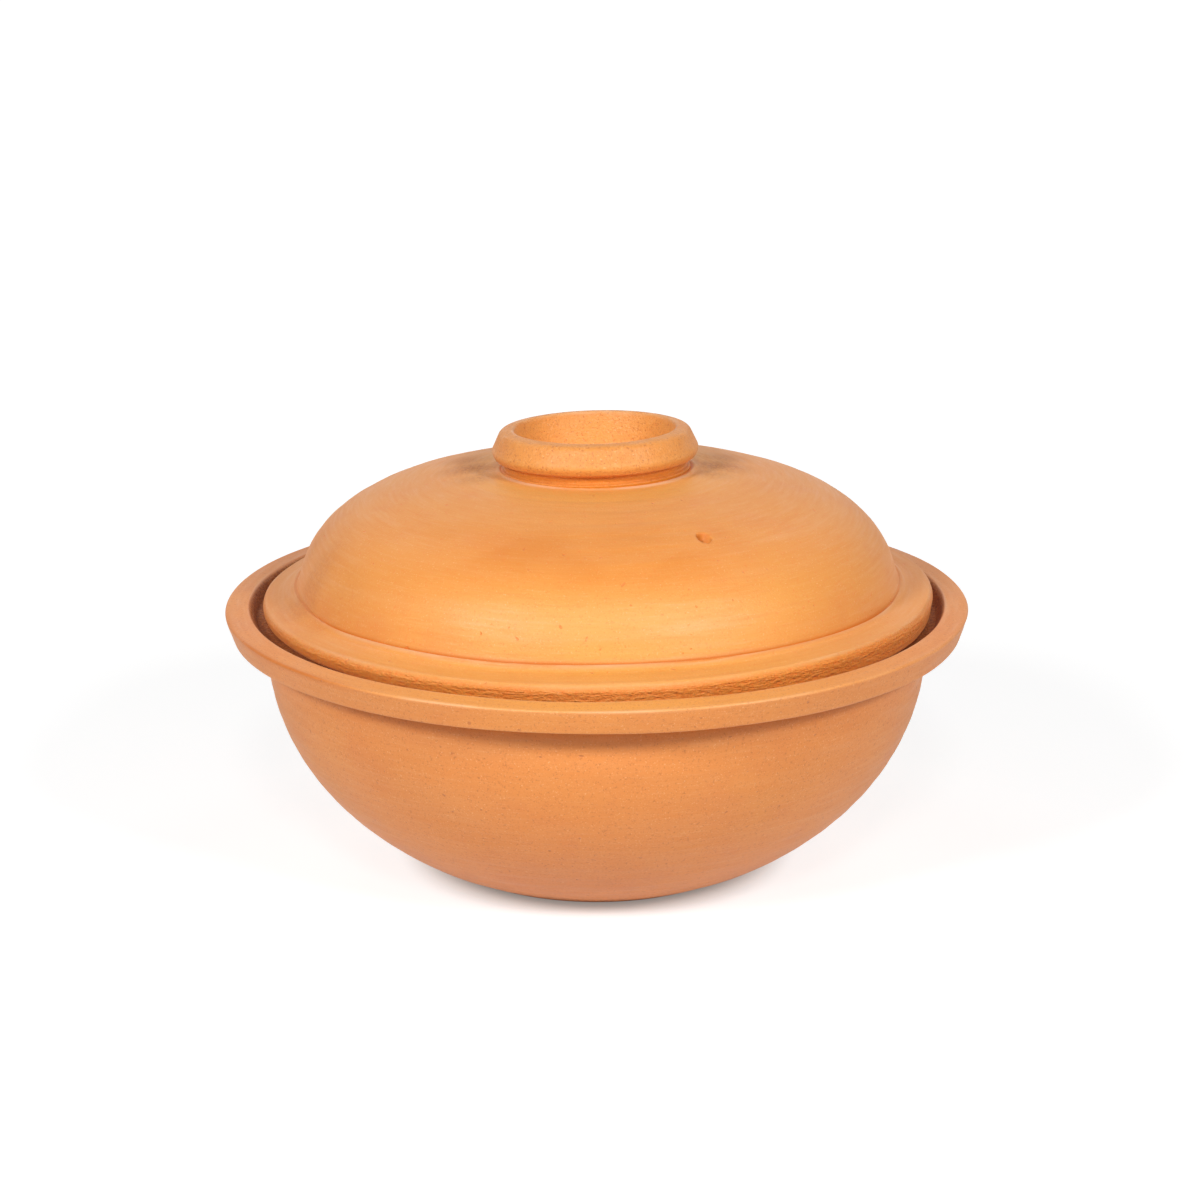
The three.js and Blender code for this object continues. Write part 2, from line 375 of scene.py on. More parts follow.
def lid_section():
    """Underside from the middle out, mouth, flange, crease, dome and the flat under the ring."""
    height, radius, centre, crease_radius, crease_height = dome_form()
    lid_radius = lid_box[1].x + FLANGE_CORNER
    base = lid_box[0].z
    ridge = base + FLANGE_THICKNESS
    ridge_radius = lid_radius - FLANGE_BULGE
    inner_height = height - LID_WALL
    inner_end = math.asin(((ridge - centre) / inner_height) ** (DOME_FULLNESS / 2))
    inside = superellipse(
        radius - LID_WALL, inner_height, centre, DOME_FULLNESS, math.pi / 2, inner_end)
    foot = math.asin(((DOME_SHOULDER_DROP + CREASE_DEPTH) / height) ** (DOME_FULLNESS / 2))
    crown = math.acos((SLIP_RADIUS / radius) ** (DOME_FULLNESS / 2))
    outside = superellipse(radius, height, centre, DOME_FULLNESS, foot, crown)
    seat = dome_height(RING_FOOT_RADIUS)
    slip = rounded([
        outside[-1],
        (SLIP_CREST_RADIUS, seat + SLIP_RISE, SLIP_ROUNDING),
        (RING_FOOT_RADIUS - SLIP_RISE, seat, SLIP_ROUNDING),
        (0, seat),
    ])
    flange = rounded([
        inside[-1],
        (crease_radius - LID_WALL, base, MOUTH_ROUNDING),
        (lid_radius - FLANGE_UNDERCUT, base, FLANGE_EDGE_ROUNDING),
        (lid_radius, ridge - FLANGE_BULGE_DROP, FLANGE_EDGE_ROUNDING),
        (ridge_radius, ridge, FLANGE_ROUNDING),
        (ridge_radius - FLANGE_SILL, ridge + FLANGE_SILL_RISE, FLANGE_SOFTNESS),
        (crease_radius + FLANGE_SHELF, crease_height - FLANGE_SHELF_DROP, FLANGE_SOFTNESS),
        (crease_radius + CREASE_WIDTH, crease_height, CREASE_WIDTH / 4),
        (crease_radius + CREASE_WIDTH / 2, crease_height - CREASE_DEPTH),
        outside[0],
    ])
    parts = (spread(inside), spread(flange, FLANGE_STEP), spread([*outside[:-1], *slip]))
    return np.concatenate([parts[0][:-1], parts[1][:-1], parts[2]])


def ring_section():
    """Closed section of the ring handle: a waisted foot under a lip that rolls up to its inner edge."""
    base = dome_height(RING_FOOT_RADIUS)
    waist = RING_FOOT_RADIUS - RING_WAIST
    corners = rounded([
        (RING_FOOT_RADIUS - RING_WALL, base - RING_SINK),
        (RING_FOOT_RADIUS, base - RING_SINK),
        (RING_FOOT_RADIUS, base + RING_FOOT_RISE, RING_FOOT_ROUNDING),
        (waist, base + RING_WAIST_LOW, RING_WAIST_ROUNDING),
        (waist, base + RING_WAIST_HIGH, RING_WAIST_ROUNDING),
        (RING_LIP_RADIUS - RING_LIP_UNDERCUT, base + RING_LIP_BOTTOM, RING_LIP_EDGE),
        (RING_LIP_RADIUS, base + RING_LIP_HEIGHT, RING_LIP_ROUNDING),
        (RING_LIP_RADIUS - RING_SHOULDER, base + RING_SHOULDER_HEIGHT, RING_LIP_ROUNDING),
        (RING_CREST_RADIUS, base + RING_CREST_HEIGHT, RING_CREST_ROUNDING),
        (RING_CREST_RADIUS - RING_THROAT, base + RING_THROAT_HEIGHT, RING_LIP_ROUNDING),
    ], closed=True)
    return spread([*corners, corners[0]], RING_STEP)[:-1]


def lean(points, angle_x, angle_y, shift, pivot):
    """Turns points about X and Y through a height on the axis, and shifts them along X."""
    x, y, z = points[:, 0], points[:, 1], points[:, 2] - pivot
    x, z = x * np.cos(angle_y) + z * np.sin(angle_y), z * np.cos(angle_y) - x * np.sin(angle_y)
    y, z = y * np.cos(angle_x) - z * np.sin(angle_x), y * np.sin(angle_x) + z * np.cos(angle_x)
    return np.stack([x + shift, y, z + pivot], axis=1)


def thrown(points, normals, seed, fall):
    """The clay a little off true: it sinks and swells, with faint rings that run as a spiral."""
    around = np.arctan2(points[:, 1], points[:, 0]) / (2 * math.pi)
    run = np.hypot(points[:, 0], points[:, 1]) + fall * points[:, 2]
    move = SWELL * (waves(points, SWELL_SIZE, seed) - 1)
    for pitch, height in zip(THROWING_PITCHES, THROWING_HEIGHTS):
        patch = 1 + THROWING_CHANGE * waves(points, THROWING_PATCH, seed + 1)
        move += height * patch * np.sin(2 * math.pi * (run / pitch + around))
    return points + normals * move[:, None]


def bowl_shape(points, normals):
    """The rim leans a little, while the wall and the ledge under the lid stay level."""
    rim_radius, rim_top, ridge = rim_places()
    distance = np.hypot(points[:, 0], points[:, 1])
    wall = rim_radius - RIM_FLARE
    mouth = rim_radius - RIM_WIDTH
    flare = smooth_share(distance, wall, wall + NECK_FILLET)
    ledge = 1 - smooth_share(distance, mouth - GALLERY_TAPER, mouth)
    share = np.where(points[:, 2] > ridge - RIM_BAND / 2, 1 - ledge, flare)
    share = share * smooth_share(points[:, 2], ridge - 2 * RIM_BAND, ridge - RIM_BAND)
    points = thrown(points, normals, BOWL_SHAPE_SEED, BOWL_FALL)
    points[:, 2] = np.maximum(points[:, 2], 0)
    return lean(points, share * RIM_LEAN[0], share * RIM_LEAN[1], RIM_LEAN[2], ridge)


def flange_side(points):
    """1 on the flange's rough outer side, less away from the front right, and 0 elsewhere."""
    ridge = lid_box[0].z + FLANGE_THICKNESS
    ridge_radius = lid_box[1].x + FLANGE_CORNER - FLANGE_BULGE
    distance = np.hypot(points[:, 0], points[:, 1])
    side = smooth_share(distance, ridge_radius - FLANGE_UNDERCUT, ridge_radius)
    top = ridge - GRIT_DROP * facing_share(points, CREASE_MIDDLE, GRIT_DROP_REACH)
    side = side * (1 - smooth_share(points[:, 2], top + GRIT_FADE[0], top + GRIT_FADE[1]))
    return side * (GRIT_LEAST + (1 - GRIT_LEAST) * facing_share(points, GRIT_ANGLE, GRIT_REACH))


def lid_shape(points, normals):
    """The lid leans in its gallery: its seat stays flat, and flange and dome lean differently."""
    base = lid_box[0].z
    ridge = base + FLANGE_THICKNESS
    _, _, _, crease_radius, crease_height = dome_form()
    shallow = beyond_share(points, CREASE_MIDDLE, CREASE_FADE)
    crease = (points, crease_radius + CREASE_WIDTH / 2, crease_height - CREASE_DEPTH)
    groove = ridge_share(*crease, CREASE_WIDTH / 2)
    fillet = ridge_share(*crease, CREASE_FILLET_REACH)
    outside = points[:, 2] > crease_height
    distance = np.hypot(points[:, 0], points[:, 1])
    ridges = flange_side(points) * np.sin(2 * math.pi * points[:, 2] / FLANGE_RIDGE_PITCH)
    ridges = ridges * smooth_share(waves(points, RIDGE_PATCH_SIZE, RIDGE_SEED), *RIDGE_PATCH_RISE)
    points = thrown(points, normals, LID_SHAPE_SEED, LID_FALL)
    points = points + normals * (FLANGE_RIDGE_HEIGHT * ridges)[:, None]
    points[:, 2] += shallow * (CREASE_DEPTH * groove + CREASE_FILLET * fillet)
    for line in CROWN_LINES:
        lines = np.exp(-((distance - line) / CROWN_LINE_REACH) ** 2)
        points[:, 2] -= CROWN_LINE_DEPTH * outside * lines
    lift = smooth_share(points[:, 2], base + LEAN_RISE[0], base + LEAN_RISE[1])
    dome = smooth_share(points[:, 2], ridge, crease_height - CREASE_DEPTH / 2)
    turn_x = lift * (FLANGE_LEAN[0] + (DOME_LEAN[0] - FLANGE_LEAN[0]) * dome)
    turn_y = lift * (FLANGE_LEAN[1] + (DOME_LEAN[1] - FLANGE_LEAN[1]) * dome)
    return lean(points, turn_x, turn_y, DOME_LEAN[2], bowl_box[1].z)


def ring_shape(points, normals):
    """The ring leans with the dome and a little more."""
    points = thrown(points, normals, RING_SHAPE_SEED, RING_FALL)
    return lean(points, *RING_LEAN, ring_box[0].z + RING_PIVOT_RISE)


def revolved(section, segments, closed=False):
    """Points, their normals and quads of a section revolved about the axis, without its two ends."""
    normals = section_normals(section, closed)
    rows = section if closed else section[1:-1]
    row_normals = normals if closed else normals[1:-1]
    count = len(rows)
    angle = np.repeat(np.arange(segments) * 2 * math.pi / segments, count)

    def around(pairs):
        out, up = np.tile(pairs[:, 0], segments), np.tile(pairs[:, 1], segments)
        return np.stack([out * np.cos(angle), out * np.sin(angle), up], axis=1)

    i = np.arange(segments)[:, None]
    j = np.arange(count if closed else count - 1)[None, :]
    after_i, after_j = (i + 1) % segments, (j + 1) % count
    quads = [i * count + j, after_i * count + j, after_i * count + after_j, i * count + after_j]
    return around(rows), around(row_normals), np.stack(np.broadcast_arrays(*quads), axis=-1)


def end_caps(section, first):
    """The two ends of an open section as points on the axis, and the triangles round them."""
    count = len(section) - 2
    i = np.arange(SEGMENTS)
    after = (i + 1) % SEGMENTS
    below = np.stack([np.full(SEGMENTS, first), after * count, i * count], axis=1)
    last, last_after = i * count + count - 1, after * count + count - 1
    above = np.stack([np.full(SEGMENTS, first + 1), last, last_after], axis=1)
    points = np.array([[0, 0, section[0][1]], [0, 0, section[-1][1]]])
    return points, [*below.tolist(), *above.tolist()]


def window_loop(count, row, column, flip):
    """The grid points round the cells that make room for the vent in one shell, and the cells."""
    columns = [(column + k) % SEGMENTS for k in range(-VENT_CELLS, VENT_CELLS + 1)]
    rows = list(range(row - VENT_ROWS, row + VENT_ROWS + 1))
    cells = [(c, r) for c in columns[:-1] for r in rows[:-1]]
    if flip:
        rows.reverse()
    places = [(c, rows[0]) for c in columns]
    places += [(columns[-1], r) for r in rows[1:]]
    places += [(c, rows[-1]) for c in columns[-2::-1]]
    places += [(columns[0], r) for r in rows[-2:0:-1]]
    return np.array([c * count + r for c, r in places]), cells


def vent_axes():
    """Unit directions on the plan at the vent: down the dome's slope, and across it."""
    toward = np.array([math.cos(VENT_ANGLE), math.sin(VENT_ANGLE)])
    return toward, np.array([-toward[1], toward[0]])


def vent_point(across, down, depth):
    """Points of one shell of the dome near the vent, from how far across and down the slope."""
    toward, beside = vent_axes()
    flat = (VENT_DISTANCE + down)[:, None] * toward + across[:, None] * beside
    up = dome_height(np.hypot(flat[:, 0], flat[:, 1]), depth)
    return np.column_stack([flat, up])


def vent_rings(points, outer_loop, inner_loop):
    """Rings of points from the outer shell's window through the vent to the inner's window."""
    toward, beside = vent_axes()
    lean_across, lean_down = VENT_LEAN

    def local(loop):
        return np.stack([points[loop, :2] @ beside, points[loop, :2] @ toward - VENT_DISTANCE])

    middle = np.array([[lean_across], [lean_down]])
    frames = ((local(outer_loop), 0, 0.0), (local(inner_loop) - middle, middle, LID_WALL))
    angle = np.arctan2(frames[0][0][1], frames[0][0][0])
    circle = np.stack([np.cos(angle), np.sin(angle) * VENT_OVAL])
    worn = np.ones(len(angle))
    for strength, count, start in VENT_WAVES:
        worn += strength * np.sin(count * angle + start)
    halves = []
    for window, shift, depth in frames:
        mouth = circle * (VENT_RADIUS + VENT_LIP) * worn
        rings = []
        for share in np.linspace(0, 1, VENT_RINGS + 1)[1:]:
            rings.append(vent_point(*((1 - share) * window + share * mouth + shift), depth))
        into = -1 if depth == 0 else 1
        for turn in VENT_LIP_TURNS:
            edge = circle * (VENT_RADIUS + VENT_LIP * (1 - math.sin(turn))) * worn
            ring = vent_point(*(edge + shift), depth)
            ring[:, 2] += into * VENT_LIP * (1 - math.cos(turn))
            rings.append(ring)
        halves.append(rings)
    outer, inner = halves
    way = inner[-1] - outer[-1]
    tube = [outer[-1] + way * k / VENT_TUBE_RINGS for k in range(1, VENT_TUBE_RINGS)]
    return [*outer, *tube, *inner[::-1]]


def pierce(points, normals, quads, section):
    """Cuts the vent through the lid's two shells: gives all points, their normals and the faces."""
    count = len(section) - 2
    distance = section[1:-1, 0]
    top = np.argmax(distance)
    column = round(VENT_ANGLE / (2 * math.pi) * SEGMENTS)
    outer_row = top + int(np.argmin(np.abs(distance[top:] - VENT_DISTANCE)))
    inner_row = int(np.argmin(np.abs(distance[:top] - VENT_DISTANCE - VENT_LEAN[1])))
    inner_column = column + round(VENT_LEAN[0] / VENT_DISTANCE / (2 * math.pi) * SEGMENTS)
    outer_loop, outer_cells = window_loop(count, outer_row, column, False)
    inner_loop, inner_cells = window_loop(count, inner_row, inner_column, True)
    kept = np.ones(quads.shape[:2], bool)
    for cell in (*outer_cells, *inner_cells):
        kept[cell] = False
    faces = quads[kept].tolist()
    rings = vent_rings(points, outer_loop, inner_loop)
    first = len(points)
    size = len(outer_loop)
    between = [first + size * k + np.arange(size) for k in range(len(rings))]
    loops = [outer_loop, *between, inner_loop]
    for near, far in zip(loops[:-1], loops[1:]):
        faces.extend(np.stack([near, np.roll(near, -1), np.roll(far, -1), far], axis=1).tolist())
    added = np.concatenate(rings)
    facing = normals[outer_row + (column % SEGMENTS) * count]
    away = np.tile(facing, (len(added), 1))
    return np.concatenate([points, added]), np.concatenate([normals, away]), faces


def make_mesh(name, points, faces, masks):
    """An object from points and faces, with its normals outwards and its masks as attributes."""
    mesh = bpy.data.meshes.new(name)
    mesh.from_pydata(points.tolist(), [], faces)
    form = bmesh.new()
    form.from_mesh(mesh)
    bmesh.ops.recalc_face_normals(form, faces=form.faces)
    form.to_mesh(mesh)
    form.free()
    mesh.shade_smooth()
    for key, values in masks.items():
        mask = mesh.attributes.new(key, "FLOAT", "POINT")
        mask.data.foreach_set("value", values.astype(np.float32))
    piece = bpy.data.objects.new(name, mesh)
    bpy.context.scene.collection.objects.link(piece)
    return piece


def open_piece(name, section, turned, shape, masks):
    """A piece from its revolved section, closed with caps where the section ends on the axis."""
    points, normals, faces = turned
    ends, caps = end_caps(section, len(points))
    points = np.concatenate([points, ends])
    normals = np.concatenate([normals, np.zeros((2, 3))])
    return make_mesh(name, shape(points, normals), [*faces, *caps], masks(points))


def make_bowl():
    section = bowl_section()
    points, normals, quads = revolved(section, SEGMENTS)
    turned = (points, normals, quads.reshape(-1, 4).tolist())
    return open_piece("bowl", section, turned, bowl_shape, bowl_masks)


def make_lid():
    section = lid_section()
    turned = pierce(*revolved(section, SEGMENTS), section)
    return open_piece("lid", section, turned, lid_shape, lid_masks)


def make_ring():
    points, normals, quads = revolved(ring_section(), RING_SEGMENTS, closed=True)
    faces = quads.reshape(-1, 4).tolist()
    return make_mesh("ring_handle", ring_shape(points, normals), faces, ring_masks(points))


# Masks that the clays read, 0 off their places and about 1 where they are strongest: "edge" for
# ridges worn pale and painted highlights on ridges, "grit" for sandy places, one for soot and painted
# shade, "groove" for a deeper colour: stains, a band, and painted shade in creases, waists, seams,
# the vent and under the rim, and one for painted light, a brighter colour where light falls.
# First the reach of thin lines, and patches that break a mask up: a noise's seed and least share
EDGE_REACH = 0.0007
CREST_REACH = 0.0009
SEAM_REACH = 0.0005
FOOT_REACH = 3 * EDGE_REACH
LIP_REACH = 2 * EDGE_REACH
PATCH_SIZE = 0.03
BOWL_EDGE_PATCHES = (41, 0.35)
LID_EDGE_PATCHES = (43, 0.35)
RING_EDGE_PATCHES = (47, 0.5)
STAIN_PATCHES = (53, 0.6)
LEFT_BELT_PATCHES = (61, 0.2)
FRONT_BAND_PATCHES = (67, 0.5)

# Bowl: painted light on the rim's front, the stain on its left, painted shade at its neck, and painted
# shade with some soot in the gallery
RIDGE_INSET = 0.0002
RIM_PAINTED_LIGHT_ANGLE = math.radians(-90)
RIM_PAINTED_LIGHT_REACH = math.radians(75)
RIM_PAINTED_LIGHT_LEAST = 0.1
RIM_TOP_SOFTNESS = 0.0005
RIM_TOP_DEPTH = 0.001
MOUTH_WEAR = 0.6
STAIN_ANGLE = math.radians(-145)
STAIN_REACH = math.radians(32)
STAIN_WIDTH = 0.0013
STAIN_STRENGTH = 1.1
NECK_DROP = 0.65 * NECK_FILLET
NECK_REACH = 1.3 * NECK_FILLET
NECK_SHADE = 0.68
GALLERY_SOFTNESS = 0.001
GALLERY_RISE = (-0.002, -0.0005)
GALLERY_GRIT_AND_SHADE = 0.5
FOOT_GRIT = 0.7

# Lid: painted highlights on its ridge, beside its crease and on the slip; painted light on the crown,
# the shelf and the lower dome's front; a deeper orange band on the dome's front; a darker belt on its
# left
FLANGE_PAINTED_HIGHLIGHT = 0.3
CREASE_PAINTED_HIGHLIGHT = 1.2
CREASE_HIGHLIGHT_PLACE = 1.5 * CREASE_WIDTH
CREASE_REACH = 0.9 * CREASE_WIDTH
SLIP_PAINTED_HIGHLIGHT = 2
SIDE_FADE = 0.85
CROWN_FADE = (0.034, 0.054)
CROWN_PAINTED_LIGHT = 0.8
SHELF_PAINTED_LIGHT = 0.4
BLOOM_RISE = (0.088, 0.098)
BLOOM_REACH = math.radians(60)
BLOOM_PAINTED_HIGHLIGHT = 0.5
FRONT_BAND_ANGLE = math.radians(-96)
FRONT_BAND_REACH = math.radians(70)
FRONT_BAND_DISTANCE = 0.078
FRONT_BAND_WIDTH = 0.011
FRONT_BAND_STRENGTH = 0.45
VENT_SHADE = 0.4
LEFT_BELT_ANGLE = math.radians(-162)
LEFT_BELT_REACH = math.radians(34)
LEFT_BELT_DISTANCE = 0.1005
LEFT_BELT_WIDTH = 0.011
LEFT_BELT_STRENGTH = 0.3
# Darker patches on the crown beside the ring, partly marks in the clay and partly painted shade:
# angle about the axis in degrees, distance from it, reach and strength
CROWN_MARKS_AND_SHADE = (
    (-14, 0.039, 0.012, 0.5),
    (4, 0.041, 0.016, 0.75),
    (22, 0.045, 0.015, 0.5),
    (158, 0.046, 0.015, 0.5),
    (176, 0.042, 0.016, 0.8),
    (196, 0.041, 0.013, 0.5),
)

# Ring handle: evenly sandy, painted shade in the waist, painted light on the lip and in the cup, and
# where the cup begins
RING_GRIT = 0.3
WAIST_SHADE = 0.75
LIP_PAINTED_LIGHT = 0.6
CUP_PAINTED_LIGHT = 0.85
CUP_RISE = (0.026, 0.028)


def patchy(points, seed, least):
    """Smooth patches between a least share and 1."""
    return least + (1 - least) * smooth_share(waves(points, PATCH_SIZE, seed), -1, 1)


def bowl_masks(points):
    rim_radius, rim_top, ridge = rim_places()
    mouth_radius = rim_radius - RIM_WIDTH
    distance = np.hypot(points[:, 0], points[:, 1])
    # The rim's front, where its top gets painted light and its outer ridge a painted highlight
    front = facing_share(points, RIM_PAINTED_LIGHT_ANGLE, RIM_PAINTED_LIGHT_REACH)
    stain = ridge_share(points, rim_radius - RIDGE_INSET, ridge, STAIN_WIDTH)
    stain = stain * patchy(points, *STAIN_PATCHES) * facing_share(points, STAIN_ANGLE, STAIN_REACH)
    outer = ridge_share(points, rim_radius - RIDGE_INSET, ridge, EDGE_REACH) * (1 - stain)
    outer = outer * (RIM_PAINTED_LIGHT_LEAST + (1 - RIM_PAINTED_LIGHT_LEAST) * front)
    mouth = ridge_share(points, mouth_radius, rim_top, EDGE_REACH)
    foot = ridge_share(points, FOOT_RADIUS, 0, FOOT_REACH)
    top = smooth_share(distance, mouth_radius - RIM_TOP_SOFTNESS, mouth_radius + RIM_TOP_SOFTNESS)
    top = top * smooth_share(points[:, 2], ridge - RIM_TOP_DEPTH, ridge)
    # Painted shade on the wall under the rim's overhang
    neck = ridge_share(
        points, rim_radius - RIM_FLARE, ridge - RIM_BAND - NECK_DROP, NECK_REACH)
    # Painted shade in the gallery under the lid, with some soot: it darkens the colour and adds grit
    # there
    ledge = rim_top - GALLERY_DEPTH
    gallery = smooth_share(mouth_radius - distance, 0, GALLERY_SOFTNESS)
    gallery = gallery * smooth_share(points[:, 2], *(ledge + part for part in GALLERY_RISE))
    return {
        # A painted highlight on the outer ridge, strongest at the front, and real wear at the mouth
        "edge": np.maximum(outer, MOUTH_WEAR * mouth) * patchy(points, *BOWL_EDGE_PATCHES),
        "grit": np.maximum(FOOT_GRIT * foot, GALLERY_GRIT_AND_SHADE * gallery),
        "smudge": gallery,
        # A real stain on the rim's left, and painted shade under the rim
        "groove": np.maximum(STAIN_STRENGTH * stain, NECK_SHADE * neck),
        # Painted light on the rim's top at the front
        "wiped": top * front,
    }


def vent_share(points):
    """1 inside the vent and on its lip, and 0 on the rest of the lid."""
    toward, beside = vent_axes()
    down = np.clip((dome_height(VENT_DISTANCE) - points[:, 2]) / LID_WALL, 0, 1)
    across = points[:, :2] @ beside - VENT_LEAN[0] * down
    out = points[:, :2] @ toward - VENT_DISTANCE - VENT_LEAN[1] * down
    apart = np.hypot(across, out / VENT_OVAL)
    return 1 - smooth_share(apart, VENT_RADIUS, VENT_RADIUS + VENT_LIP)


def soot_and_shade_share(points):
    """The darker patches on the crown, partly marks in the clay and partly painted shade, each with a
    soft edge.
    """
    share = np.zeros(len(points))
    for degrees, radius, reach, strength in CROWN_MARKS_AND_SHADE:
        angle = math.radians(degrees)
        middle = radius * np.array([math.cos(angle), math.sin(angle)])
        apart = np.hypot(points[:, 0] - middle[0], points[:, 1] - middle[1])
        share = np.maximum(share, strength * (1 - smooth_share(apart, 0, reach)))
    return share


def belt_share(points, radius, width, angle, reach):
    """1 on a belt round the lid, at a radius and an angle, and a soft fall to 0 beside it."""
    distance = np.hypot(points[:, 0], points[:, 1])
    return np.exp(-((distance - radius) / width) ** 2) * facing_share(points, angle, reach)


def lid_masks(points):
    ridge = lid_box[0].z + FLANGE_THICKNESS
    ridge_radius = lid_box[1].x + FLANGE_CORNER - FLANGE_BULGE
    _, _, _, crease_radius, crease_height = dome_form()
    seat = dome_height(RING_FOOT_RADIUS)
    height = points[:, 2]
    distance = np.hypot(points[:, 0], points[:, 1])
    above = smooth_share(height, crease_height, crease_height + DOME_SHOULDER_DROP)
    on_dome = height > crease_height
    # How much of the painted highlights and shade at the crease and the slip a place gets: all at the
    # front, less at the sides
    front = 1 - SIDE_FADE * beyond_share(points, CREASE_MIDDLE, CREASE_FADE)

    # Painted highlights on the flange's ridge, beside the crease and on the slip's crest
    outer = ridge_share(points, ridge_radius, ridge, CREST_REACH)
    crease = ridge_share(points, crease_radius + CREASE_HIGHLIGHT_PLACE, crease_height, EDGE_REACH)
    slip = ridge_share(points, (SLIP_CREST_RADIUS + SLIP_RADIUS) / 2, seat, CREST_REACH)
    # Painted shade in the crease and at the ring's seam
    groove = ridge_share(
        points, crease_radius + CREASE_WIDTH / 2, crease_height - CREASE_DEPTH, CREASE_REACH)
    seam = ridge_share(points, RING_FOOT_RADIUS, seat, SEAM_REACH)

    # A darker belt round the dome's foot on the left
    left_belt = belt_share(points, LEFT_BELT_DISTANCE, LEFT_BELT_WIDTH, LEFT_BELT_ANGLE, LEFT_BELT_REACH)
    left_belt = LEFT_BELT_STRENGTH * left_belt * (height > ridge) * patchy(points, *LEFT_BELT_PATCHES)
    # A deeper orange band across the dome's front
    front_band = belt_share(points, FRONT_BAND_DISTANCE, FRONT_BAND_WIDTH, FRONT_BAND_ANGLE, FRONT_BAND_REACH)
    front_band = front_band * on_dome * patchy(points, *FRONT_BAND_PATCHES)
    # Painted light on the crown round the ring, a painted highlight on the lower dome's front, and
    # painted light on the flange's shelf at the front
    crown = above * (1 - smooth_share(distance, *CROWN_FADE))
    bloom = smooth_share(distance, *BLOOM_RISE) * on_dome
    bloom = bloom * facing_share(points, CREASE_MIDDLE, BLOOM_REACH)
    shelf = smooth_share(distance, crease_radius + CREASE_WIDTH, crease_radius + 2 * CREASE_WIDTH)
    shelf = shelf * smooth_share(height, ridge - FLANGE_BULGE, ridge)
    shelf = shelf * facing_share(points, CREASE_MIDDLE, RIM_PAINTED_LIGHT_REACH)

    edge = np.maximum(FLANGE_PAINTED_HIGHLIGHT * outer, front * np.maximum(CREASE_PAINTED_HIGHLIGHT * crease, SLIP_PAINTED_HIGHLIGHT * slip))
    # Painted shade in the vent and on its lip
    vent = VENT_SHADE * vent_share(points)
    wiped = (CROWN_PAINTED_LIGHT * crown, SHELF_PAINTED_LIGHT * shelf, BLOOM_PAINTED_HIGHLIGHT * bloom)
    return {
        "edge": edge * patchy(points, *LID_EDGE_PATCHES),
        "grit": flange_side(points),
        "smudge": np.maximum(soot_and_shade_share(points) * above, left_belt),
        "groove": np.maximum.reduce([groove * front, seam, vent, FRONT_BAND_STRENGTH * front_band]),
        "wiped": np.maximum.reduce(wiped),
    }


def ring_masks(points):
    base = dome_height(RING_FOOT_RADIUS)
    waist_height = base + (2 * RING_WAIST_LOW + RING_WAIST_HIGH) / 3
    # A painted highlight on the crest, with some wear
    crest = ridge_share(points, RING_CREST_RADIUS, base + RING_CREST_HEIGHT, CREST_REACH)
    # Painted light on the lip's face and in the cup
    lip = ridge_share(points, RING_LIP_RADIUS, base + RING_LIP_HEIGHT, LIP_REACH)
    cup = 1 - smooth_share(np.hypot(points[:, 0], points[:, 1]), *CUP_RISE)
    # Painted shade in the waist under the lip and at the seam
    waist = ridge_share(points, RING_FOOT_RADIUS - RING_WAIST, waist_height, RING_WAIST)
    seam = ridge_share(points, RING_FOOT_RADIUS, base, SEAM_REACH)
    return {
        "edge": crest * patchy(points, *RING_EDGE_PATCHES),
        "grit": np.full(len(points), RING_GRIT),
        "smudge": np.zeros(len(points)),
        "groove": np.maximum(WAIST_SHADE * waist, seam),
        "wiped": np.maximum(LIP_PAINTED_LIGHT * lip, CUP_PAINTED_LIGHT * cup),
    }


def node(tree, kind, inputs, **settings):
    """Adds a node with its settings, and fills or joins its inputs by name or place."""
    made = tree.nodes.new(kind)
    for key, value in settings.items():
        setattr(made, key, value)
    for key, value in inputs.items():
        if isinstance(value, bpy.types.NodeSocket):
            tree.links.new(value, made.inputs[key])
        else:
            made.inputs[key].default_value = value
    return made


def calc(tree, operation, first, second=0.0):
    return node(tree, "ShaderNodeMath", {0: first, 1: second}, operation=operation).outputs[0]


def vector(tree, operation, first, second=(0, 0, 0)):
    """A sum or a product of two vectors, or the direction or the length of the first."""
    made = node(tree, "ShaderNodeVectorMath", {0: first, 1: second}, operation=operation)
    return made.outputs["Value" if operation == "LENGTH" else "Vector"]


def noise(tree, place, scale, detail, roughness=0.5):
    settings = {"Vector": place, "Scale": scale, "Detail": detail, "Roughness": roughness}
    return node(tree, "ShaderNodeTexNoise", settings).outputs[0]


def rise(tree, value, low, high, top=1.0, bottom=0.0):
    """The bottom below low, the top above high, and a smooth rise between them."""
    inputs = {"Value": value, "From Min": low, "From Max": high, "To Min": bottom, "To Max": top}
    return node(tree, "ShaderNodeMapRange", inputs, interpolation_type="SMOOTHSTEP").outputs[0]


def blend(tree, share, under, over):
    """Mixes a colour over another by a share."""
    made = node(tree, "ShaderNodeMix", {0: share}, data_type="RGBA")
    for place, value in ((6, under), (7, over)):
        if isinstance(value, bpy.types.NodeSocket):
            tree.links.new(value, made.inputs[place])
        else:
            made.inputs[place].default_value = (*value, 1)
    return made.outputs[2]


def mask(tree, name):
    return node(tree, "ShaderNodeAttribute", {}, attribute_name=name).outputs["Fac"]


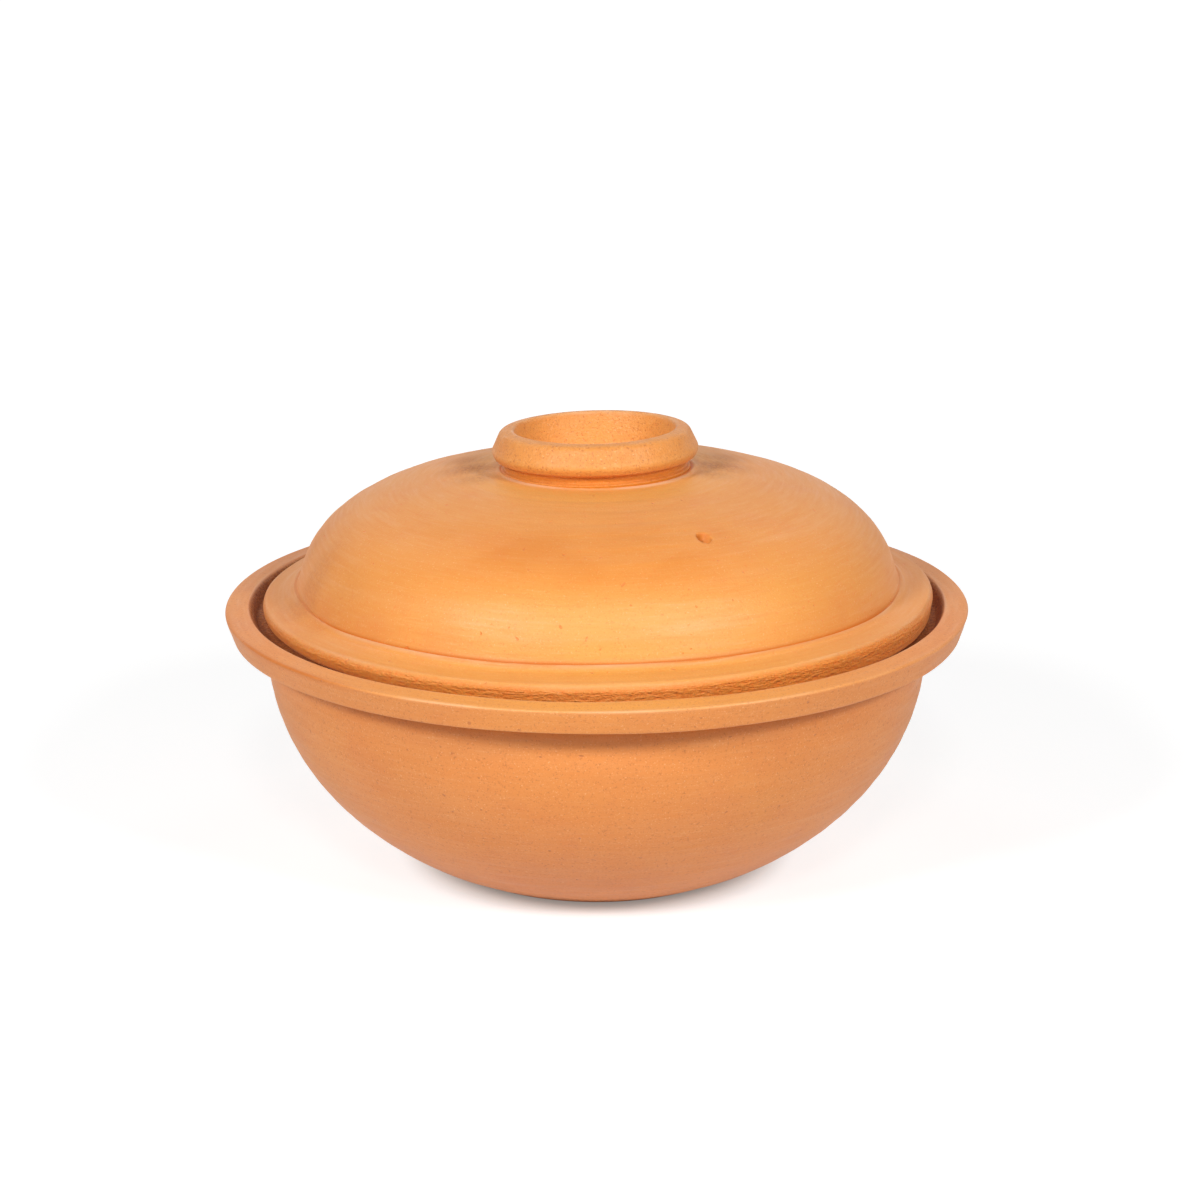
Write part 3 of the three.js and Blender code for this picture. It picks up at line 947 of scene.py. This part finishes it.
def round_places(tree, fall):
    """The place on the clay, its direction from the axis, and how far along the section it lies."""
    place = node(tree, "ShaderNodeTexCoord", {}).outputs["Object"]
    flat = vector(tree, "MULTIPLY", place, (1, 1, 0))
    height = node(tree, "ShaderNodeSeparateXYZ", {0: place}).outputs["Z"]
    run = calc(tree, "ADD", vector(tree, "LENGTH", flat), calc(tree, "MULTIPLY", height, fall))
    return place, vector(tree, "NORMALIZE", flat), run


def streaks(tree, direction, run, around, across, detail):
    """Noise drawn out round the pot: lumps per radian of the turn, and lumps per metre down it."""
    turned_place = vector(tree, "MULTIPLY", direction, (around,) * 3)
    down = node(tree, "ShaderNodeCombineXYZ", {2: calc(tree, "MULTIPLY", run, across)}).outputs[0]
    return noise(tree, vector(tree, "ADD", turned_place, down), 1.0, detail)


# How strongly each clay is speckled, and the shift of its noise
BOWL_SPECKLE = 1.5
LID_SPECKLE = 1.1
RING_SPECKLE = 2.2
BOWL_CLAY_SEED = 3
LID_CLAY_SEED = 7
RING_CLAY_SEED = 11

# Clay colours, linear: the body, and what drifts, streaks, grains and masks turn it towards
# In each clay, "worn" is the pale of worn ridges and of painted highlights, the darkest is for soot and
# painted shade, "deep" is for stains, a band and painted shade, and the last is painted light
BOWL_COLOURS = {
    "body": (0.79, 0.268, 0.052),
    "warm": (0.82, 0.295, 0.054),
    "ruddy": (0.74, 0.222, 0.045),
    "pale": (0.82, 0.335, 0.10),
    "worn": (0.86, 0.49, 0.26),
    "smudge": (0.25, 0.065, 0.014),
    "dark": (0.52, 0.13, 0.025),
    "light": (0.92, 0.50, 0.22),
    "deep": (0.62, 0.15, 0.02),
    "wiped": (0.89, 0.36, 0.055),
}
LID_COLOURS = {
    "body": (0.82, 0.298, 0.045),
    "warm": (0.84, 0.325, 0.048),
    "ruddy": (0.78, 0.242, 0.040),
    "pale": (0.85, 0.37, 0.105),
    "worn": (0.88, 0.52, 0.27),
    "smudge": (0.42, 0.10, 0.014),
    "dark": (0.86, 0.185, 0.02),
    "light": (0.94, 0.54, 0.23),
    "deep": (0.66, 0.16, 0.015),
    "wiped": (0.88, 0.42, 0.075),
}
RING_COLOURS = {
    "body": (0.83, 0.315, 0.055),
    "warm": (0.86, 0.34, 0.058),
    "ruddy": (0.78, 0.242, 0.040),
    "pale": (0.85, 0.37, 0.105),
    "worn": (0.88, 0.52, 0.28),
    "smudge": (0.32, 0.10, 0.025),
    "dark": (0.56, 0.15, 0.025),
    "light": (0.94, 0.54, 0.23),
    "deep": (0.62, 0.185, 0.015),
    "wiped": (0.86, 0.38, 0.08),
}

# Even patterns: lumps per metre, detail and roughness
PATTERNS = {
    "drift": (16, 3, 0.5),
    "blotch": (55, 3, 0.5),
    "grain": (1100, 3, 0.6),
    "specks": (1900, 1, 0.5),
    "pits": (430, 1, 0.5),
}

# Patterns drawn out round the pot: lumps per radian of the turn, lumps per metre down it, detail
STREAKS = {
    "bands": (1.6, 120, 2),
    "fine": (5, 620, 3),
    "hair": (14, 1500, 2),
    "drag": (42, 1500, 2),
}

# What patterns do to the colour: the pattern, where its rise starts and ends, how strong it is
# and what it turns the clay towards. The last three also follow how speckled the clay is
DRIFT_TINTS = (
    ("drift", 0.42, 0.68, 0.6, "warm"),
    ("blotch", 0.5, 0.72, 0.35, "ruddy"),
)
STREAK_TINTS = (
    ("bands", 0.48, 0.74, 0.26, "pale"),
    ("fine", 0.5, 0.78, 0.17, "pale"),
    ("fine", 0.48, 0.22, 0.3, "ruddy"),
    ("hair", 0.52, 0.8, 0.16, "light"),
)
SPECKLE_TINTS = (
    ("grain", 0.44, 0.26, 0.4, "dark"),
    ("specks", 0.62, 0.8, 0.45, "light"),
    ("specks", 0.38, 0.22, 0.4, "dark"),
)

# Rises for pits, soot and painted shade, sandy places, and pale edges of wear and painted highlight:
# start, end and strength, with the strength of each tint beside them
PIT_RISE = (0.26, 0.19)
PIT_TINT = 0.6
SOOT_AND_SHADE_RISE = (0.62, 0.36)
SOOT_AND_SHADE_TINT = 0.5
GRIT_GRAIN = (0.56, 0.36, 0.25)
GRIT_DRAG = (0.6, 0.3, 0.3)
GRIT_TINT = 0.15
GROOVE_TINT = 0.9
PALE_EDGE_RISE = (0.2, 0.6, 0.75)

# Relief: how much each pattern adds to the height, and the height of 1 in metres
GRAIN_RELIEF = 0.9
GRIT_RELIEF = 3.2
DRAG_RELIEF = 6
FINE_RELIEF = 0.35
HAIR_RELIEF = 0.15
PIT_RELIEF = 1.5
RELIEF_HEIGHT = 0.0001

# Shine: roughness and how far the burnished streaks take it down, the specular level and how far
# soot and painted shade, stains and painted shade in grooves, and grit take that down, and a faint
# dusty sheen
ROUGHNESS = 0.56
BURNISH = (0.35, 0.75, 0.1)
SPECULAR = 0.5
SPECULAR_LOSS = 0.45
GRIT_DULLNESS = 0.5
CLAY_IOR = 1.6
SHEEN = 0.1
SHEEN_ROUGHNESS = 0.45
SHEEN_TINT = (1.0, 0.86, 0.78, 1)


def tinted(tree, colour, patterns, tints, colours, speckle=1.0):
    """Turns a colour towards others, one after another, where patterns rise."""
    for pattern, low, high, strength, key in tints:
        share = rise(tree, patterns[pattern], low, high, strength * speckle)
        colour = blend(tree, share, colour, colours[key])
    return colour


def clay_colour(tree, patterns, masks, colours, speckle, pitted):
    """The clay's colour, from its drifts and streaks to grains, pits, soot, grit and wear, with painted
    light, painted shade and painted highlights from its masks.
    """
    grain = patterns["grain"]
    colour = tinted(tree, colours["body"], patterns, DRIFT_TINTS, colours)
    # Painted light where light falls on the pot
    colour = blend(tree, masks["wiped"], colour, colours["wiped"])
    colour = tinted(tree, colour, patterns, STREAK_TINTS, colours)
    colour = tinted(tree, colour, patterns, SPECKLE_TINTS, colours, speckle)
    colour = blend(tree, calc(tree, "MULTIPLY", pitted, PIT_TINT), colour, colours["dark"])
    # Soot and painted shade
    soot_and_shade_amount = calc(tree, "MULTIPLY", masks["smudge"], rise(tree, grain, *SOOT_AND_SHADE_RISE))
    soot_and_shade_amount = calc(tree, "MULTIPLY", calc(tree, "ADD", soot_and_shade_amount, masks["smudge"]), SOOT_AND_SHADE_TINT)
    colour = blend(tree, soot_and_shade_amount, colour, colours["smudge"])
    gritty = calc(
        tree, "ADD", rise(tree, grain, *GRIT_GRAIN), rise(tree, patterns["drag"], *GRIT_DRAG))
    gritty = calc(tree, "MULTIPLY", masks["grit"], calc(tree, "ADD", gritty, GRIT_TINT))
    colour = blend(tree, gritty, colour, colours["dark"])
    # Stains and painted shade
    colour = blend(tree, calc(tree, "MULTIPLY", masks["groove"], GROOVE_TINT), colour, colours["deep"])
    # Pale edges: wear and painted highlights
    worn = calc(tree, "MULTIPLY", masks["edge"], rise(tree, patterns["fine"], *PALE_EDGE_RISE))
    return blend(tree, worn, colour, colours["worn"])


def clay_relief(tree, patterns, grit, pitted):
    """The clay's finest relief, as a bump: grain, drag marks, streaks and pits."""
    strength = calc(tree, "ADD", calc(tree, "MULTIPLY", grit, GRIT_RELIEF), GRAIN_RELIEF)
    height = calc(tree, "MULTIPLY", patterns["grain"], strength)
    dragged = calc(tree, "MULTIPLY", grit, patterns["drag"])
    for pattern, share in (
        (dragged, DRAG_RELIEF),
        (patterns["fine"], FINE_RELIEF),
        (patterns["hair"], HAIR_RELIEF),
        (pitted, -PIT_RELIEF),
    ):
        height = calc(tree, "ADD", height, calc(tree, "MULTIPLY", pattern, share))
    bump = {"Height": height, "Strength": 1.0, "Distance": RELIEF_HEIGHT}
    return node(tree, "ShaderNodeBump", bump).outputs[0]


def clay(name, colours, fall, seed, speckle):
    """Unglazed clay: drifts of colour, fine streaks round the pot, grains, pits, worn ridges, and
    painted light, shade and highlights.
    """
    material = bpy.data.materials.new(name)
    material.use_nodes = True
    tree = material.node_tree
    place, direction, run = round_places(tree, fall)
    place = vector(tree, "ADD", place, (seed,) * 3)
    run = calc(tree, "ADD", run, seed)
    masks = {key: mask(tree, key) for key in ("edge", "grit", "smudge", "groove", "wiped")}
    patterns = {key: noise(tree, place, *values) for key, values in PATTERNS.items()}
    for key, values in STREAKS.items():
        patterns[key] = streaks(tree, direction, run, *values)
    pitted = rise(tree, patterns["pits"], *PIT_RISE)
    rough = calc(tree, "SUBTRACT", ROUGHNESS, rise(tree, patterns["fine"], *BURNISH))
    dull = calc(tree, "MAXIMUM", masks["smudge"], masks["groove"])
    dull = calc(tree, "MAXIMUM", dull, calc(tree, "MULTIPLY", masks["grit"], GRIT_DULLNESS))
    shine = calc(tree, "SUBTRACT", SPECULAR, calc(tree, "MULTIPLY", dull, SPECULAR_LOSS))
    linked = {
        "Base Color": clay_colour(tree, patterns, masks, colours, speckle, pitted),
        "Roughness": rough,
        "Normal": clay_relief(tree, patterns, masks["grit"], pitted),
        "Specular IOR Level": shine,
    }
    shader = tree.nodes["Principled BSDF"]
    for key, value in linked.items():
        tree.links.new(value, shader.inputs[key])
    shader.inputs["IOR"].default_value = CLAY_IOR
    shader.inputs["Sheen Weight"].default_value = SHEEN
    shader.inputs["Sheen Roughness"].default_value = SHEEN_ROUGHNESS
    shader.inputs["Sheen Tint"].default_value = SHEEN_TINT
    return material


def make_pot():
    bowl_clay = clay("bowl_clay_finish", BOWL_COLOURS, BOWL_FALL, BOWL_CLAY_SEED, BOWL_SPECKLE)
    lid_clay = clay("lid_clay_finish", LID_COLOURS, LID_FALL, LID_CLAY_SEED, LID_SPECKLE)
    ring_clay = clay("handle_clay_finish", RING_COLOURS, RING_FALL, RING_CLAY_SEED, RING_SPECKLE)
    for piece, material, body, slot, replaced in (
        (make_bowl(), bowl_clay, "pot", "bowl_clay", "pot_bowl"),
        (make_lid(), lid_clay, "lid", "lid_clay", "lid_dome"),
        (make_ring(), ring_clay, "lid", "handle_clay", "lid_ring_handle"),
    ):
        piece.data.materials.append(material)
        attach(piece, body)
        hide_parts(replaced)


# Stage: a floor that the camera sees as white, with the pot's own shadow on it. Its glow is weaker
# where the foot stands, a painted contact shadow, and warmer there, a painted glow of light thrown
# off the clay, and stronger again far out
FLOOR_SIZE = 16
FLOOR_COLOUR = (0.8, 0.8, 0.8)
FLOOR_SEEN_COLOUR = (0.45, 0.45, 0.45)
FLOOR_PAINTED_SHADOW_GLOW = 0.25
FLOOR_GLOW_FAR = 0.74
FLOOR_GLOW_REACH = (0.0515, 0.07)
FLOOR_PAINTED_BOUNCE_TINT = (1.0, 0.9, 0.83)
FLOOR_GLOW_RISE = (0.2, 1.4, 0.3)
WHITE = (1, 1, 1)
FLOOR_SHINE = 0.55
WORLD_STRENGTH = 0.05


def seen_share(tree, mirrored):
    """1 for rays from the camera or through glass, and a share for mirrored rays."""
    ray = node(tree, "ShaderNodeLightPath", {}).outputs
    seen = calc(tree, "MAXIMUM", ray["Is Camera Ray"], ray["Is Transmission Ray"])
    return calc(tree, "MAXIMUM", seen, calc(tree, "MULTIPLY", ray["Is Glossy Ray"], mirrored))


def make_stage():
    bpy.ops.mesh.primitive_plane_add(size=FLOOR_SIZE)
    floor = bpy.context.object
    floor.name = "floor"
    material = bpy.data.materials.new("white_floor")
    material.use_nodes = True
    tree = material.node_tree
    tree.nodes.remove(tree.nodes["Principled BSDF"])
    place = node(tree, "ShaderNodeTexCoord", {}).outputs["Object"]
    distance = vector(tree, "LENGTH", place)
    seen = seen_share(tree, FLOOR_SHINE)
    # Glow that drops where the foot stands: a painted contact shadow
    near = rise(tree, distance, *FLOOR_GLOW_REACH, FLOOR_GLOW_FAR, FLOOR_PAINTED_SHADOW_GLOW)
    glow = calc(tree, "ADD", near, rise(tree, distance, *FLOOR_GLOW_RISE))
    glow = calc(tree, "MULTIPLY", glow, seen)
    # A warm tint round the foot: painted light thrown off the clay onto the floor
    tint = blend(tree, rise(tree, distance, *FLOOR_GLOW_REACH), FLOOR_PAINTED_BOUNCE_TINT, WHITE)
    light = node(tree, "ShaderNodeEmission", {"Color": tint, "Strength": glow})
    tone = blend(tree, seen, FLOOR_COLOUR, FLOOR_SEEN_COLOUR)
    matte = node(tree, "ShaderNodeBsdfDiffuse", {"Color": tone})
    both = node(tree, "ShaderNodeAddShader", {0: light.outputs[0], 1: matte.outputs[0]})
    tree.links.new(both.outputs[0], tree.nodes["Material Output"].inputs["Surface"])
    floor.data.materials.append(material)


def make_world():
    world = bpy.context.scene.world or bpy.data.worlds.new("studio")
    bpy.context.scene.world = world
    world.use_nodes = True
    tree = world.node_tree
    background = tree.nodes["Background"]
    background.inputs["Color"].default_value = (*WHITE, 1)
    strength = calc(tree, "MAXIMUM", seen_share(tree, 1), WORLD_STRENGTH)
    tree.links.new(strength, background.inputs["Strength"])


# Softboxes: name, angle from the front and height angle in degrees, distance, size and power
SOFTBOXES = (
    ("left", -40, 31, 2.2, 0.45, 25.0),
    ("right", 40, 31, 2.2, 0.45, 22.5),
    ("front", 0, 38, 2.2, 0.35, 8.0),
    ("back_left", -140, 50, 2.2, 0.8, 3.5),
    ("back_right", 140, 50, 2.2, 0.8, 3.5),
)
SOFTBOX_AIM = (0, 0, 0.08)


def softbox(name, turn, up, distance, size, power):
    turn, up = math.radians(turn), math.radians(up)
    away = Vector((math.sin(turn) * math.cos(up), -math.cos(turn) * math.cos(up), math.sin(up)))
    data = bpy.data.lights.new(name, "AREA")
    data.shape = "DISK"
    data.size = size
    data.energy = power
    lamp = bpy.data.objects.new(name, data)
    lamp.location = Vector(SOFTBOX_AIM) + away * distance
    lamp.rotation_euler = away.to_track_quat("Z", "Y").to_euler()
    bpy.context.scene.collection.objects.link(lamp)


# Camera: where it stands, how far it looks down and aside in radians, its lens and its sensor
CAMERA_PLACE = (0.0, -1.0, 0.37853)
CAMERA_PITCH = 0.282057
CAMERA_YAW = 0.0011366
LENS = 92.303
SENSOR = 36.0


def make_camera():
    data = bpy.data.cameras.new("camera")
    data.sensor_width = SENSOR
    data.lens = LENS
    camera = bpy.data.objects.new("camera", data)
    camera.location = CAMERA_PLACE
    camera.rotation_euler = (math.pi / 2 - CAMERA_PITCH, 0, -CAMERA_YAW)
    bpy.context.scene.collection.objects.link(camera)
    bpy.context.scene.camera = camera


make_pot()
make_stage()
make_world()
for lamp in SOFTBOXES:
    softbox(*lamp)
make_camera()
bpy.context.scene.view_settings.view_transform = "Standard"
